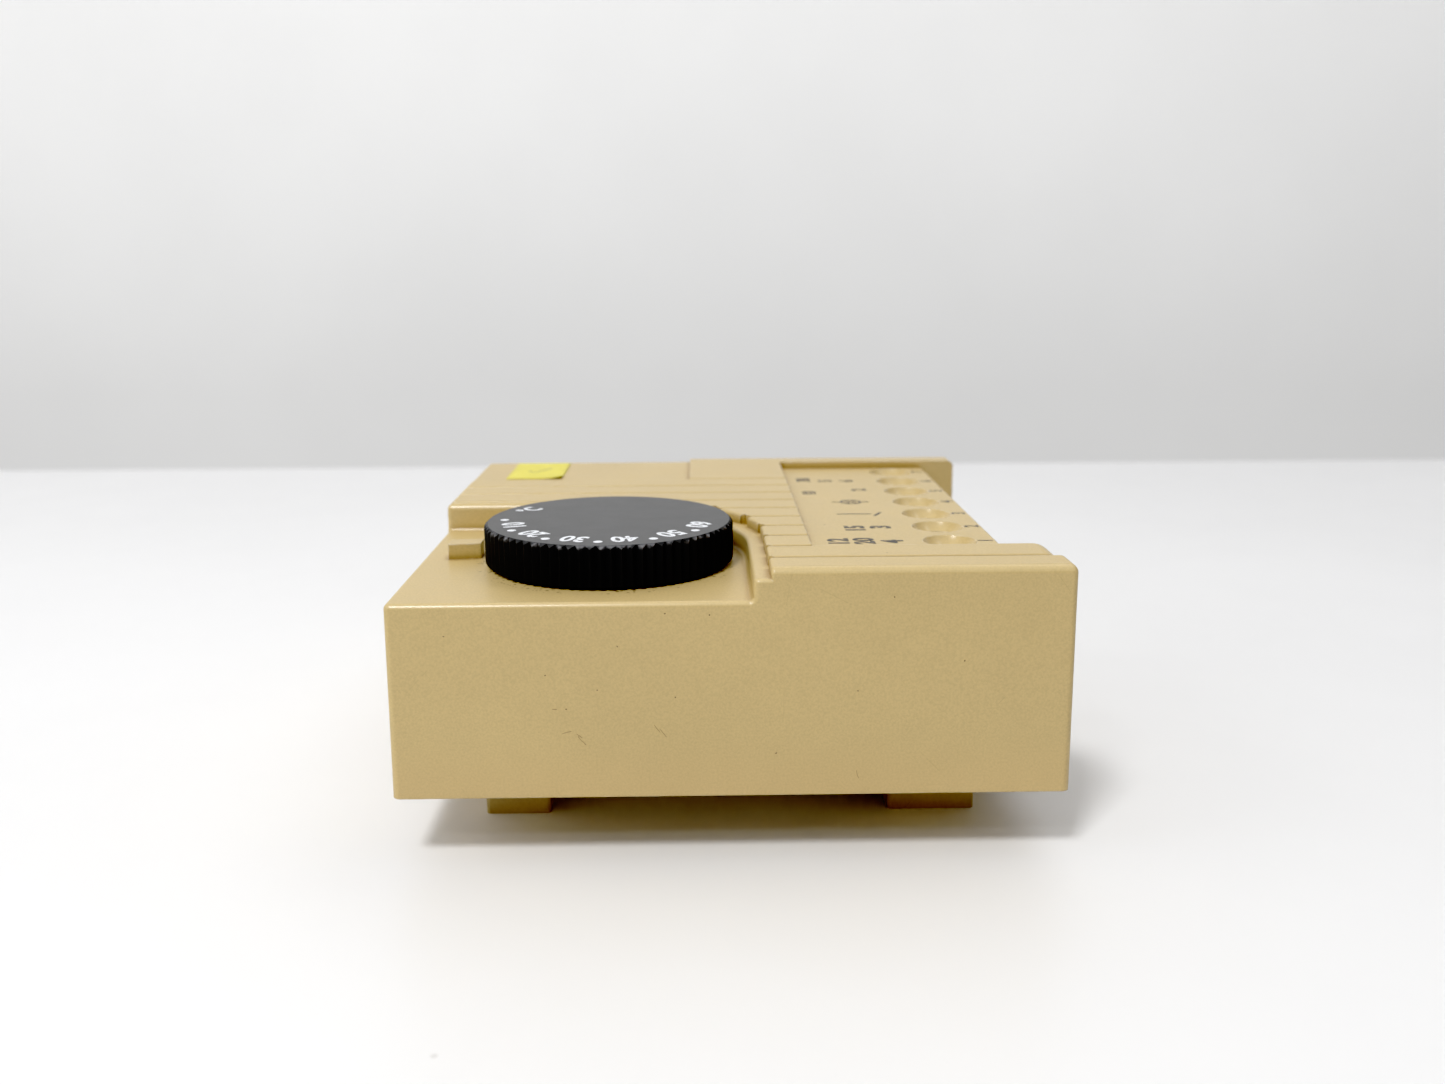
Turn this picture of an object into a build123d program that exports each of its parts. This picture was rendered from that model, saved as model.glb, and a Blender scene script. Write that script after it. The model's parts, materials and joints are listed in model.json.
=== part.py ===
from build123d import *
import math
import os

# Enclosure thermostat for a 35 mm rail: moulded housing, setting dial,
# bimetal switch works, seven-way lifting-clamp terminal block, rail latch.
# Millimetres.  +Z points out of the rail towards the dial, z = 0 is the
# plane of the rail feet, x = y = 0 is the middle of the housing.
# In the comments left is -X, right +X, front -Y, back +Y and top +Z.

# ------------------------------------------------------- shared dimensions
# housing
SIDE = 71.0             # housing side at the top
WALL = 2.0
INNER = SIDE / 2 - WALL
BOTTOM_Z = 7.5          # lower edge of the housing
FACE_Z = 32.1           # top of the ribbed face
PLATFORM_Z = 28.6       # dial platform
STEP_Z = 30.9           # step between platform and ribs
PANEL_Z = 31.1          # terminal panel
LABEL_Z = 31.5          # plain label field
ABOVE_Z = FACE_Z + 3    # cuts through the face end here
OUTSIDE = 40.0          # cuts through a side end here
BASE_FLOOR = 9.5        # bosses of the rear base start here, inside its plate
POSTS = [(-29.6, -29.6), (-29.6, 29.6), (29.6, -29.9), (14.4, 29.9)]    # x, y

# dial and spindle
DIAL_X, DIAL_Y = -13.6, -17.05
AT_DIAL = Pos(DIAL_X, DIAL_Y, 0)
SPINDLE_R = 3.0
SPINDLE_FLAT = 2.3      # axis to the drive flat
BUSH_R, BUSH_Z = 4.5, 23.4
CAM_R, CAM_DROP = 7.0, 1.6

# switch works
WORKS_Z = 16.0          # mid-height of the lever, strip and contacts
LEVER_X, LEVER_Y = -29.0, -7.0        # pivot of the setting lever
PIN_R = 1.5
RIVETS_X = (-23.2, -21.0)
RIVET_R = 0.75
STRIP_X, STRIP_Y = -18.8, -4.5        # root of the bimetal strip
PLUNGER_X, PLUNGER_R = 9.0, 1.0
CONTACT_X = 12.6
BLADE_THICK = 0.25
BLADE_X, BLADE_Y = 4.2, BLADE_THICK / 2     # pivot of the contact blade

# terminals
TERMINAL_X = 25.3       # axis of the clamp screws
TERMINAL_PITCH = 7.75
TERMINALS_Y = [-19.45 + TERMINAL_PITCH * k for k in range(7)]

# rail feet, distances from the middle on either side
FOOT_NEAR, FOOT_FAR = 11.0, 23.2

os.makedirs("parts", exist_ok=True)


# ------------------------------------------------------------------ helpers
def box(x_min, x_max, y_min, y_max, z_min, z_max):
    middle = Pos((x_min + x_max) / 2, (y_min + y_max) / 2, (z_min + z_max) / 2)
    return middle * Box(x_max - x_min, y_max - y_min, z_max - z_min)


def rod_z(x, y, z_min, z_max, radius):
    return Pos(x, y, (z_min + z_max) / 2) * Cylinder(radius, z_max - z_min)


def rod_y(x, z, y_min, y_max, radius):
    return Pos(x, (y_min + y_max) / 2, z) * Rot(90, 0, 0) * Cylinder(radius, y_max - y_min)


def rod_x(y, z, x_min, x_max, radius):
    return Pos((x_min + x_max) / 2, y, z) * Rot(0, 90, 0) * Cylinder(radius, x_max - x_min)


def flat(x_min, x_max, y_min, y_max):
    middle = Pos((x_min + x_max) / 2, (y_min + y_max) / 2)
    return middle * Rectangle(x_max - x_min, y_max - y_min)


def polygon(*points):
    return make_face(Polyline(*points, close=True))


def polar(radius, degrees):
    angle = math.radians(degrees)
    return (radius * math.cos(angle), radius * math.sin(angle))


def rise(sketch, z_min, z_max):
    return Pos(0, 0, z_min) * extrude(sketch, amount=z_max - z_min)


def prism_x(profile, x_min, x_max):
    """Extrude a (y, z) profile along X."""
    return Pos(x_min, 0, 0) * extrude(Plane.YZ * profile, amount=x_max - x_min)


def prism_y(profile, y_min, y_max):
    """Extrude an (x, z) profile along Y."""
    return Pos(0, y_max, 0) * extrude(Plane.XZ * profile, amount=y_max - y_min)


def span(side, near, far):
    """Lower and upper y of a range on the front (-1) or back (1) side."""
    return sorted((side * near, side * far))


def save(name, *shapes):
    solids = [solid for shape in shapes for solid in shape.solids()]
    piece = solids[0] if len(solids) == 1 else Compound(children=solids)
    piece.label = name
    export_step(piece, "parts/" + name + ".step")


# -------------------------------------------------------------- front cover
DRAFT = 0.58            # mould draft of the side walls, degrees
RIM_R = 0.9             # rounding of the outer top edges

POCKET_X, POCKET_Y = -14.65, -17.05   # centre of the round pocket wall
POCKET_R, BAND_R = 16.85, 18.65
POCKET_WALL_X, BAND_WALL_X = 2.2, 4.0

RIB_PITCH = 5.3
GROOVE_W = 0.78
GROOVE_Z = 30.2
GROOVES_Y = [-30.7 + RIB_PITCH * k for k in range(10)]
POCKET_GROOVES = 6      # grooves whose ribs end at the pocket
STEP_Y = GROOVES_Y[POCKET_GROOVES] - GROOVE_W / 2   # back end of the step round the pocket
RIB_ROLL = 0.28         # rolled front edge of each rib
RIB_CORNER_R = 1.0
RIB_END_R = 2.4         # right end of the rib in front of the panel

PANEL_X0, PANEL_X1 = 9.0, 30.5
PANEL_Y0, PANEL_Y1 = -25.4, 31.0
RECESS_Z = 13.0         # floor of the terminal recess
DIMPLE_R, DIMPLE_DEPTH = 3.6, 1.7     # round lead-in of each screwdriver hole

PANEL_BACK = PANEL_X1 - 1.8           # right end of the main cavity
RECESS_BACK = PANEL_X1 - 2.0
CAVITY_TOP, UPPER_TOP = 26.6, 29.2
CAVITIES = [            # x min, x max, y min, y max, z min, z max
    (-INNER, PANEL_BACK, -INNER, INNER, BOTTOM_Z - 1, CAVITY_TOP),
    (RECESS_BACK, INNER, -INNER, INNER, BOTTOM_Z - 1, RECESS_Z - 2.0),
    (RECESS_BACK, INNER, -INNER, PANEL_Y0 - 2.0, BOTTOM_Z - 1, CAVITY_TOP),
    (-INNER, PANEL_BACK, 8.0, INNER, CAVITY_TOP - 0.1, UPPER_TOP),
    (6.2, PANEL_BACK, -INNER, INNER, CAVITY_TOP - 0.1, UPPER_TOP),
]
POINTER = [(-32.4, -16.1), (-28.7, -15.6), (-28.7, -13.3), (-32.4, -13.3)]  # x, y
STOP_START, STOP_END = 187.6, 371.9   # ends of the stop rib, degrees


def level_edges(shape, z, outer):
    """Edges in the plane z: those on the left and front outer sides, or the others."""
    found = []
    for edge in shape.edges():
        bounds = edge.bounding_box()
        if abs(bounds.min.Z - z) > 0.02 or abs(bounds.max.Z - z) > 0.02:
            continue
        center = edge.center()
        if (center.X < -34.5 or center.Y < -34.5) == outer:
            found.append(edge)
    return found


def is_rib_wall(edge):
    """True for the straight and round edges where the ribs drop to the step."""
    return abs(edge.center().X - BAND_WALL_X) < 0.3 or (
        edge.geom_type == GeomType.CIRCLE
        and abs(edge.radius - BAND_R) < 0.02
        and edge.center().X > POCKET_X
    )


def cover_block():
    """Drafted block with the stepped round pocket, open to the front and left."""
    half_low = SIDE / 2 + (FACE_Z - BOTTOM_Z) * math.tan(math.radians(DRAFT))
    block = Pos(0, 0, BOTTOM_Z) * extrude(
        Sketch() + RectangleRounded(2 * half_low, 2 * half_low, 0.9),
        amount=FACE_Z - BOTTOM_Z,
        taper=DRAFT,
    )
    top_edges = block.edges().filter_by_position(Axis.Z, FACE_Z - 0.01, FACE_Z + 0.01)
    block = fillet(top_edges, RIM_R)

    pocket = (
        flat(-OUTSIDE, POCKET_WALL_X, -OUTSIDE, POCKET_Y)
        + Pos(POCKET_X, POCKET_Y) * Circle(POCKET_R)
        + flat(-OUTSIDE, POCKET_X, POCKET_Y, POCKET_Y + POCKET_R)
    )
    band = flat(-OUTSIDE, BAND_WALL_X, -OUTSIDE, POCKET_Y) + (
        Pos(POCKET_X, POCKET_Y) * Circle(BAND_R)
        - flat(-OUTSIDE, OUTSIDE, STEP_Y, OUTSIDE)
    )
    cover = block - rise(band, STEP_Z, ABOVE_Z) - rise(pocket, PLATFORM_Z, ABOVE_Z)

    # foot of the pocket wall, platform rim, outer edge of the step, rib wall
    cover = fillet(level_edges(cover, PLATFORM_Z, False), 0.45)
    cover = fillet(level_edges(cover, PLATFORM_Z, True), 0.6)
    cover = fillet([e for e in level_edges(cover, STEP_Z, True) if e.length > 1.0], 0.5)
    return fillet([e for e in level_edges(cover, FACE_Z, False) if is_rib_wall(e)], 0.4)


def round_over(low, high, center, radius):
    """Profile that rounds an edge of the face: a strip less a circle."""
    strip = flat(low, high, FACE_Z - radius, FACE_Z + 1)
    return strip - Pos(center, FACE_Z - radius) * Circle(radius)


def rib_start(y):
    """Left end of the rib behind the groove at y."""
    if y < POCKET_Y:
        return BAND_WALL_X
    if y < STEP_Y:
        return POCKET_X + math.sqrt(BAND_R**2 - (y - POCKET_Y) ** 2)
    return -OUTSIDE


def cut_ribs(cover):
    for k, y in enumerate(GROOVES_Y):
        right = OUTSIDE if k == 0 else PANEL_X0
        front, back = y - GROOVE_W / 2, y + GROOVE_W / 2
        profile = flat(front, back, STEP_Z, FACE_Z + 1) + round_over(
            back, back + RIB_ROLL, back + RIB_ROLL, RIB_ROLL
        )
        cover = cover - prism_x(profile, -OUTSIDE, right)
        cover = cover - box(rib_start(y) + 0.35, right, front, back, GROOVE_Z, STEP_Z + 0.1)

    # the rib behind the dial is rounded over into the pocket
    radius = STEP_Y - (POCKET_Y + POCKET_R)
    over = round_over(STEP_Y - radius - 0.5, STEP_Y, STEP_Y, radius)
    cover = cover - prism_x(over, -OUTSIDE, POCKET_X)

    # rounded front-left corners of the ribs that end at the pocket
    for y in GROOVES_Y[:POCKET_GROOVES]:
        x = rib_start(y)
        front = y + GROOVE_W / 2
        tip = flat(x - 0.6, x + RIB_CORNER_R, front - 0.05, front + RIB_CORNER_R)
        tip = tip - Pos(x + RIB_CORNER_R, front + RIB_CORNER_R) * Circle(RIB_CORNER_R)
        cover = cover - rise(tip, STEP_Z, ABOVE_Z)
    return cover


def cut_panel(cover):
    """Terminal panel, label field, rib end and terminal recess."""
    cover = cover - box(PANEL_X0, OUTSIDE, PANEL_Y0, PANEL_Y1, PANEL_Z, ABOVE_Z)
    label_front = GROOVES_Y[9] + GROOVE_W / 2
    cover = cover - box(-OUTSIDE, -4.6, label_front, OUTSIDE, LABEL_Z, ABOVE_Z)
    rib_end = round_over(SIDE / 2 - RIB_END_R, SIDE / 2 + 1, SIDE / 2 - RIB_END_R, RIB_END_R)
    cover = cover - prism_y(rib_end, GROOVES_Y[0] + GROOVE_W / 2, PANEL_Y0)
    # the recess is open to the right
    return cover - box(PANEL_X1, OUTSIDE, PANEL_Y0, PANEL_Y1, RECESS_Z, ABOVE_Z)


def cut_openings(cover):
    for cavity in CAVITIES:
        cover = cover - box(*cavity)
    # screwdriver holes and wire entries
    for y in TERMINALS_Y:
        dimple_z = PANEL_Z + DIMPLE_R - DIMPLE_DEPTH
        cover = cover - Pos(TERMINAL_X, y, dimple_z) * Sphere(DIMPLE_R)
        cover = cover - rod_z(TERMINAL_X, y, 26.0, PANEL_Z, 2.1)
        cover = cover - box(28.0, 31.0, y - 2.6, y + 2.6, 14.6, 20.4)
    # slots through the floor of the last two grooves
    for y in GROOVES_Y[8:]:
        for x in (-30.0, -19.0, -8.0):
            cover = cover - box(x, x + 8.5, y - 0.24, y + 0.24, 28.9, 31.0)
    return cover


def front_cover():
    cover = cut_openings(cut_panel(cut_ribs(cover_block())))

    # pointer beside the dial
    cover = cover + rise(polygon(*POINTER), PLATFORM_Z - 0.1, 30.4)

    # stop rib under the dial: the dial lug runs between its two ends
    steps = 24
    sweep_angle = STOP_START + 360 - STOP_END
    arc = [polar(14, STOP_END + sweep_angle * i / steps) for i in range(steps + 1)]
    stop = AT_DIAL * (Circle(9.8) - Circle(7.7) - polygon((0, 0), *arc))
    cover = cover + rise(stop, PLATFORM_Z - 0.1, 30.5)

    # boss for the spindle bush
    cover = cover + rod_z(DIAL_X, DIAL_Y, BUSH_Z, 27.0, 6.5)
    cover = cover - rod_z(DIAL_X, DIAL_Y, 22.0, 30.0, BUSH_R)

    # screw posts, the one under the platform shorter
    for x, y in POSTS:
        post_top = 27.0 if y < 0 and x < 0 else 29.6
        cover = cover + rod_z(x, y, 10.95, post_top, 3.0)
        cover = cover - rod_z(x, y, 10.0, 22.0, 1.2)
    return cover


# ------------------------------------------------- rear base, screws, latch
HOOK_LIP = [(-21.2, 3.2), (-19.4, 3.2), (-18.0, 4.6), (-18.0, 6.2), (-21.2, 6.2)]   # x, z
LATCH_LIP = [(15.6, 3.4), (14.2, 3.4), (12.6, 4.8), (12.6, 6.2), (15.6, 6.2)]       # x, z
LATCH_Z0, LATCH_Z1 = 3.4, 7.4
LATCH_X1 = 28.4


def rail_foot(side, x_min, x_max, height):
    foot = box(x_min, x_max, *span(side, FOOT_NEAR, FOOT_FAR), 0.0, height)
    return fillet(foot.edges().filter_by(Axis.Z), 0.5)


def rear_base():
    half = INNER - 0.15
    base = box(-half, half, -half, half, BOTTOM_Z, 9.7)
    base = fillet(base.edges().filter_by(Axis.Z), 0.6)
    for x, y in POSTS:
        base = base + rod_z(x, y, BASE_FLOOR, 10.9, 3.4)
        base = base - rod_z(x, y, 7.0, 12.0, 1.6) - rod_z(x, y, 7.0, 9.5, 2.8)
    # spindle and lever bosses
    base = base + rod_z(DIAL_X, DIAL_Y, BASE_FLOOR, 11.9, 4.0)
    base = base - rod_z(DIAL_X, DIAL_Y, 8.6, 12.5, 1.56)
    base = base + rod_z(LEVER_X, LEVER_Y, BASE_FLOOR, 13.4, 3.2)
    base = base - rod_z(LEVER_X, LEVER_Y, 8.6, 14.0, PIN_R)
    # spring abutment
    base = base + box(-30.0, -27.05, -3.2, 0.2, BASE_FLOOR, 21.8)
    for side in (-1, 1):
        # rail hook on the left
        lip = prism_y(polygon(*HOOK_LIP), *span(side, FOOT_NEAR, FOOT_FAR))
        base = base + rail_foot(side, -28.2, -20.7, 7.6) + lip
        # guide lug of the latch on the right
        base = base + box(16.0, 21.0, *span(side, 6.6, 8.8), 4.6, 7.6)
        base = base + box(16.0, 21.0, *span(side, 8.7, 10.6), 4.6, 5.7)
    # pad under the switch
    return base + box(6.0, 8.4, -2.4, 5.2, BASE_FLOOR, 10.95)


def cover_screw(x, y):
    half_width, half_length = 0.4, 1.7      # cross recess
    screw = rod_z(x, y, 9.5, 20.5, 1.2) + rod_z(x, y, 7.9, 9.5, 2.6)
    for dx, dy in ((half_width, half_length), (half_length, half_width)):
        screw = screw - box(x - dx, x + dx, y - dy, y + dy, 7.8, 8.7)
    return screw


def latch_arm(side):
    reach = span(side, 9.0, FOOT_FAR)
    arm = box(15.4, LATCH_X1, *reach, LATCH_Z0, LATCH_Z1)
    lip = prism_y(polygon(*LATCH_LIP), *reach)
    guide = box(12.0, 24.4, *span(side, 8.9, 10.8), 3.0, 5.8)
    return arm + lip - guide + rail_foot(side, 18.3, LATCH_X1, 3.6)


def rail_latch():
    latch = latch_arm(-1) + latch_arm(1)
    latch = latch + box(24.4, LATCH_X1, -9.2, 9.2, LATCH_Z0, LATCH_Z1)
    return latch - box(25.8, 27.2, -3.0, 3.0, 3.0, 8.0)


# --------------------------------------------------------- dial and spindle
DIAL_R = 14.2
DIAL_Z0, DIAL_Z1 = 29.0, 33.5
DIAL_BEVEL = 0.42
KNURLS = 80
KNURL_DEPTH = 0.42
DIAL_TURN = 160.5       # degrees from the 5 mark to the 60 mark
CLIP_Z0, CLIP_Z1 = 22.3, 23.1         # retaining groove of the spindle


def setting_dial():
    points = []
    for i in range(KNURLS):
        points.append(polar(DIAL_R, 360 * i / KNURLS))
        points.append(polar(DIAL_R - KNURL_DEPTH, 360 * (i + 0.5) / KNURLS))
    dial = rise(polygon(*points), DIAL_Z0, DIAL_Z1)
    # turned outline, radius and z, that trims the knurled prism
    outline = [
        (0, DIAL_Z0),
        (DIAL_R - 0.15, DIAL_Z0),
        (DIAL_R + 0.05, DIAL_Z0 + 0.2),
        (DIAL_R + 0.05, DIAL_Z1 - DIAL_BEVEL),
        (DIAL_R - DIAL_BEVEL, DIAL_Z1),
        (0, DIAL_Z1),
    ]
    dial = dial & revolve(Plane.XZ * polygon(*outline), Axis.Z)
    # hollow underside round the hub
    dial = dial - (rod_z(0, 0, 28.0, 31.5, 12.0) - rod_z(0, 0, 27.0, 32.0, 5.0))
    dial = dial - rod_z(0, 0, 28.0, 29.3, 5.2)
    bore = rod_z(0, 0, 28.0, 31.25, SPINDLE_R + 0.03)
    dial = dial - (bore - box(-4, 4, SPINDLE_FLAT + 0.03, 5, 27, 32))
    # lug that meets the stop rib
    wedge = polygon((0, 0), polar(14, 173), (-14.3, 0), polar(14, 187))
    dial = dial + rise((Circle(10.2) - Circle(7.3)) & wedge, 29.3, 31.6)
    return AT_DIAL * dial


def dial_spindle():
    spindle = rod_z(0, 0, 9.9, 12.1, 1.5) + rod_z(0, 0, 12.0, 31.1, SPINDLE_R)
    spindle = spindle - box(-4, 4, SPINDLE_FLAT, 5, 28.7, 32)
    groove = rod_z(0, 0, CLIP_Z0, CLIP_Z1, 4) - rod_z(0, 0, 22.0, 23.4, 2.4)
    return AT_DIAL * (spindle - groove)


def spindle_bush():
    bush = rod_z(DIAL_X, DIAL_Y, BUSH_Z, 28.4, BUSH_R)
    return bush - rod_z(DIAL_X, DIAL_Y, 23, 29, SPINDLE_R + 0.05)


def retaining_clip():
    clip = rod_z(0, 0, CLIP_Z0 + 0.05, CLIP_Z1 - 0.05, 4.3) - rod_z(0, 0, 22, 24, 2.42)
    return AT_DIAL * (clip - box(-1.6, 1.6, 0, 6, 22, 24))


def cam_radius(angle):
    """Falls evenly over the dial's turn, dwells, then climbs back smoothly."""
    turn = (angle - 90.0) % 360.0
    if turn <= DIAL_TURN:
        return CAM_R - CAM_DROP * turn / DIAL_TURN
    if turn <= 240.0:
        return CAM_R - CAM_DROP
    if turn <= 350.0:
        return CAM_R - CAM_DROP * (0.5 + 0.5 * math.cos(math.pi * (turn - 240.0) / 110.0))
    return CAM_R


def setpoint_cam():
    points = [polar(cam_radius(3.0 * i), 3.0 * i) for i in range(120)]
    cam = extrude(make_face(Spline(*points, periodic=True)), amount=4.8)
    cam = Pos(0, 0, 13.6) * cam + rod_z(0, 0, 18.2, 20.6, 4.6)
    return AT_DIAL * (cam - rod_z(0, 0, 12, 22, SPINDLE_R))


# ------------------------------------------------- setting lever and strip
CALIBRATION_R = 1.0
CAM_GAP = 0.08          # between the cam and the screw nose


def setting_lever():
    lever = rod_z(LEVER_X, LEVER_Y, 13.5, 18.5, 3.2)
    lever = lever + box(LEVER_X, -11.4, -8.0, -5.6, 13.5, 18.5)
    lever = lever - rod_z(LEVER_X, LEVER_Y, 13, 19, PIN_R + 0.05)
    lever = lever - rod_y(DIAL_X, WORKS_Z, -9, -5, CALIBRATION_R)
    for x in RIVETS_X:
        lever = lever - rod_y(x, WORKS_Z, -9, -5, RIVET_R)
    return lever


def lever_pin():
    pin = rod_z(LEVER_X, LEVER_Y, 8.8, 21.6, PIN_R)
    return chamfer(pin.edges().group_by(Axis.Z)[-1], 0.3)


def calibration_screw():
    nose_y = DIAL_Y + CAM_R + CAM_GAP + CALIBRATION_R
    screw = rod_y(DIAL_X, WORKS_Z, nose_y, -5.45, CALIBRATION_R)
    screw = screw + Pos(DIAL_X, nose_y, WORKS_Z) * Sphere(CALIBRATION_R)
    return screw - box(DIAL_X - 0.25, DIAL_X + 0.25, -5.9, -5.0, 14.5, 17.5)


def lever_spring():
    """Torsion spring: three coils and a long leg on the abutment."""
    pitch = 0.75
    coil = Helix(pitch=pitch, height=3 * pitch, radius=2.3)
    leg = Line(coil @ 1, coil @ 1 + (coil % 1) * 6.3)
    wire_section = Plane(origin=coil @ 0, z_dir=coil % 0) * Circle(0.3)
    spring = sweep(wire_section, path=Wire([coil, leg.edge()]))
    return Pos(LEVER_X, LEVER_Y, 18.85) * spring


def strip_clamp():
    clamp = box(-25.0, -17.6, -5.6, -3.4, 13.8, 18.2)
    clamp = clamp - rod_z(STRIP_X, STRIP_Y, 13, 19, 0.56)
    clamp = clamp - box(STRIP_X, -17.0, STRIP_Y - 0.34, STRIP_Y + 0.34, 13, 19)
    for x in RIVETS_X:
        clamp = clamp - rod_y(x, WORKS_Z, -6, -3, RIVET_R)
    return clamp


def clamp_rivet(x):
    rivet = rod_y(x, WORKS_Z, -8.0, -3.4, RIVET_R)
    rivet = rivet + rod_y(x, WORKS_Z, -8.5, -8.0, 1.4)
    return rivet + rod_y(x, WORKS_Z, -3.4, -2.9, 1.4)


def bimetal_strip():
    root = rod_z(STRIP_X, STRIP_Y, 14.0, 18.0, 0.5)
    return root + box(STRIP_X, 14.0, STRIP_Y - 0.25, STRIP_Y + 0.25, 14.0, 18.0)


# --------------------------------------------------------------- the switch
SWITCH_WALL = 1.2
SWITCH_Z0, SWITCH_Z1 = 11.0, 20.0


def switch_box(inset, z_min, z_max):
    """The switch outline, drawn in by inset on all four sides."""
    return box(inset, 15.2 - inset, -3.4 + inset, 6.6 - inset, z_min, z_max)


def switch_body():
    body = switch_box(0.0, SWITCH_Z0, SWITCH_Z1)
    body = body - switch_box(SWITCH_WALL, SWITCH_Z0 + SWITCH_WALL, 21.0)
    body = body - rod_y(PLUNGER_X, WORKS_Z, -4, -2, PLUNGER_R + 0.06)
    # floor slots for the break, make and common conductors
    body = body - box(11.5, 13.7, -2.15, -1.45, 10, 13) - box(11.5, 13.7, 2.15, 2.85, 10, 13)
    return body - box(1.9, 3.6, -0.6, 0.9, 10, 13)


def switch_lid():
    lid = switch_box(0.0, SWITCH_Z1, 21.0) + switch_box(SWITCH_WALL + 0.1, 19.4, 20.1)
    return fillet(lid.edges().filter_by(Axis.Z).group_by(Axis.Z)[-1], 0.5)


def switch_plunger():
    plunger = rod_y(PLUNGER_X, WORKS_Z, -3.8, -0.7, PLUNGER_R)
    plunger = plunger + rod_y(PLUNGER_X, WORKS_Z, -2.15, -1.45, 1.5)
    plunger = plunger + Pos(PLUNGER_X, -3.8, WORKS_Z) * Rot(90, 0, 0) * Cone(
        PLUNGER_R, 0.4, 0.4, align=(Align.CENTER, Align.CENTER, Align.MIN)
    )
    return plunger + rod_y(PLUNGER_X, WORKS_Z, -0.8, -0.09, 0.4)


def contact_blade():
    blade = rod_z(BLADE_X, BLADE_Y, 14.2, 17.8, 0.4)
    blade = blade + box(BLADE_X, 13.3, 0.0, BLADE_THICK, 14.4, 17.6)
    return blade - rod_y(CONTACT_X, WORKS_Z, -1, 1, 0.5)


def moving_contact():
    contact = rod_y(CONTACT_X, WORKS_Z, -0.4, 0.0, 1.0)
    contact = contact + rod_y(CONTACT_X, WORKS_Z, 0.0, BLADE_THICK, 0.5)
    return contact + rod_y(CONTACT_X, WORKS_Z, BLADE_THICK, BLADE_THICK + 0.4, 1.0)


# --------------------------------------------------------------- conductors
# Each has a clamp tongue with a riser, and flat straps near the floor.
STRAP_Z0, STRAP_Z1 = 9.75, 10.55
UPRIGHT_TOP = 18.2
TONGUE_HALF = 1.7       # half width of a tongue
RISER_X1 = 19.0


def strap(x_min, x_max, y_min, y_max, z_max=STRAP_Z1):
    return box(x_min, x_max, y_min, y_max, STRAP_Z0, z_max)


def tongue(y):
    front, back = y - TONGUE_HALF, y + TONGUE_HALF
    return box(18.0, 27.8, front, back, 19.2, 20.2) + strap(18.0, RISER_X1, front, back, 20.2)


def tongue_pair(first, x_min):
    """Two neighbouring tongues joined by a strap."""
    front_y, back_y = TERMINALS_Y[first], TERMINALS_Y[first + 1]
    joint = strap(x_min, RISER_X1, front_y - TONGUE_HALF, back_y + TONGUE_HALF)
    return tongue(front_y) + tongue(back_y) + joint


def supply_link():
    return tongue_pair(0, 16.8)


def break_conductor():
    conductor = tongue(TERMINALS_Y[2]) + strap(11.6, RISER_X1, -4.0, -1.5)
    conductor = conductor + strap(11.6, 13.6, -2.1, -1.5, UPRIGHT_TOP)
    return conductor + rod_y(CONTACT_X, WORKS_Z, -1.6, -0.43, 0.9)


def make_conductor():
    conductor = tongue(TERMINALS_Y[3]) + strap(11.6, RISER_X1, 2.2, 4.2)
    conductor = conductor + strap(11.6, 13.6, 2.2, 2.8, UPRIGHT_TOP)
    return conductor + rod_y(CONTACT_X, WORKS_Z, 1.58, 2.3, 0.9)


def common_conductor():
    y = TERMINALS_Y[4]
    conductor = tongue(y) + strap(2.0, RISER_X1, y - 1.0, y + 1.0)
    conductor = conductor + strap(2.0, 3.5, -2.6, y + 1.0)
    conductor = conductor + strap(-4.0, 3.5, -2.6, -1.0)
    conductor = conductor + strap(2.0, 3.5, -0.5, 0.8, UPRIGHT_TOP)
    # seat of the blade pivot
    conductor = conductor + box(3.4, BLADE_X, -0.5, 0.8, 13.6, UPRIGHT_TOP)
    return conductor - rod_z(BLADE_X, BLADE_Y, 13, 19, 0.46)


def neutral_conductor():
    y = TERMINALS_Y[5]
    conductor = tongue_pair(5, 17.95) + strap(-16.0, 18.5, y - 1.0, y + 1.0)
    return conductor + strap(-16.0, -14.0, -2.6, y + 1.0)


# ------------------------------------------------------- feedback resistor
RESISTOR_Y = -1.6
RESISTOR_X0, RESISTOR_X1 = -13.0, -5.0
LEAD_R, LEAD_REACH = 0.35, 2.0


def feedback_resistor():
    body = rod_x(RESISTOR_Y, WORKS_Z, RESISTOR_X0, RESISTOR_X1, 1.5)
    return fillet(body.edges().filter_by(GeomType.CIRCLE), 0.5)


def resistor_lead(x_body, x_bend):
    x_min, x_max = sorted((x_body, x_bend))
    lead = rod_x(RESISTOR_Y, WORKS_Z, x_min, x_max, LEAD_R)
    lead = lead + rod_z(x_bend, RESISTOR_Y, STRAP_Z1 + 0.01, WORKS_Z, LEAD_R)
    return lead + Pos(x_bend, RESISTOR_Y, WORKS_Z) * Sphere(LEAD_R)


# ----------------------------------------------------------- terminal block
def terminal_block():
    front, back = TERMINALS_Y[0] - 5.0, TERMINALS_Y[-1] + 5.0
    block = box(20.0, 28.5, front, back, 9.75, 27.0)
    for y in TERMINALS_Y:
        block = block - box(21.5, 29.0, y - 3.25, y + 3.25, 12.6, 24.05)
        block = block - rod_z(TERMINAL_X, y, 24.0, 25.0, 1.65)
        block = block - rod_z(TERMINAL_X, y, 24.95, 28.0, 2.5)
        block = block - box(19.0, 22.0, y - 1.8, y + 1.8, 19.1, 20.3)
    return block


def clamp_cage(y):
    cage = box(22.4, 28.2, y - 3.1, y + 3.1, 13.0, 21.6)
    cage = fillet(cage.edges().filter_by(Axis.X), 0.5)
    cage = cage - box(22.0, 29.0, y - 2.25, y + 2.25, 14.6, 20.3)
    return cage - rod_z(TERMINAL_X, y, 20.0, 22.0, 1.55)


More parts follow.
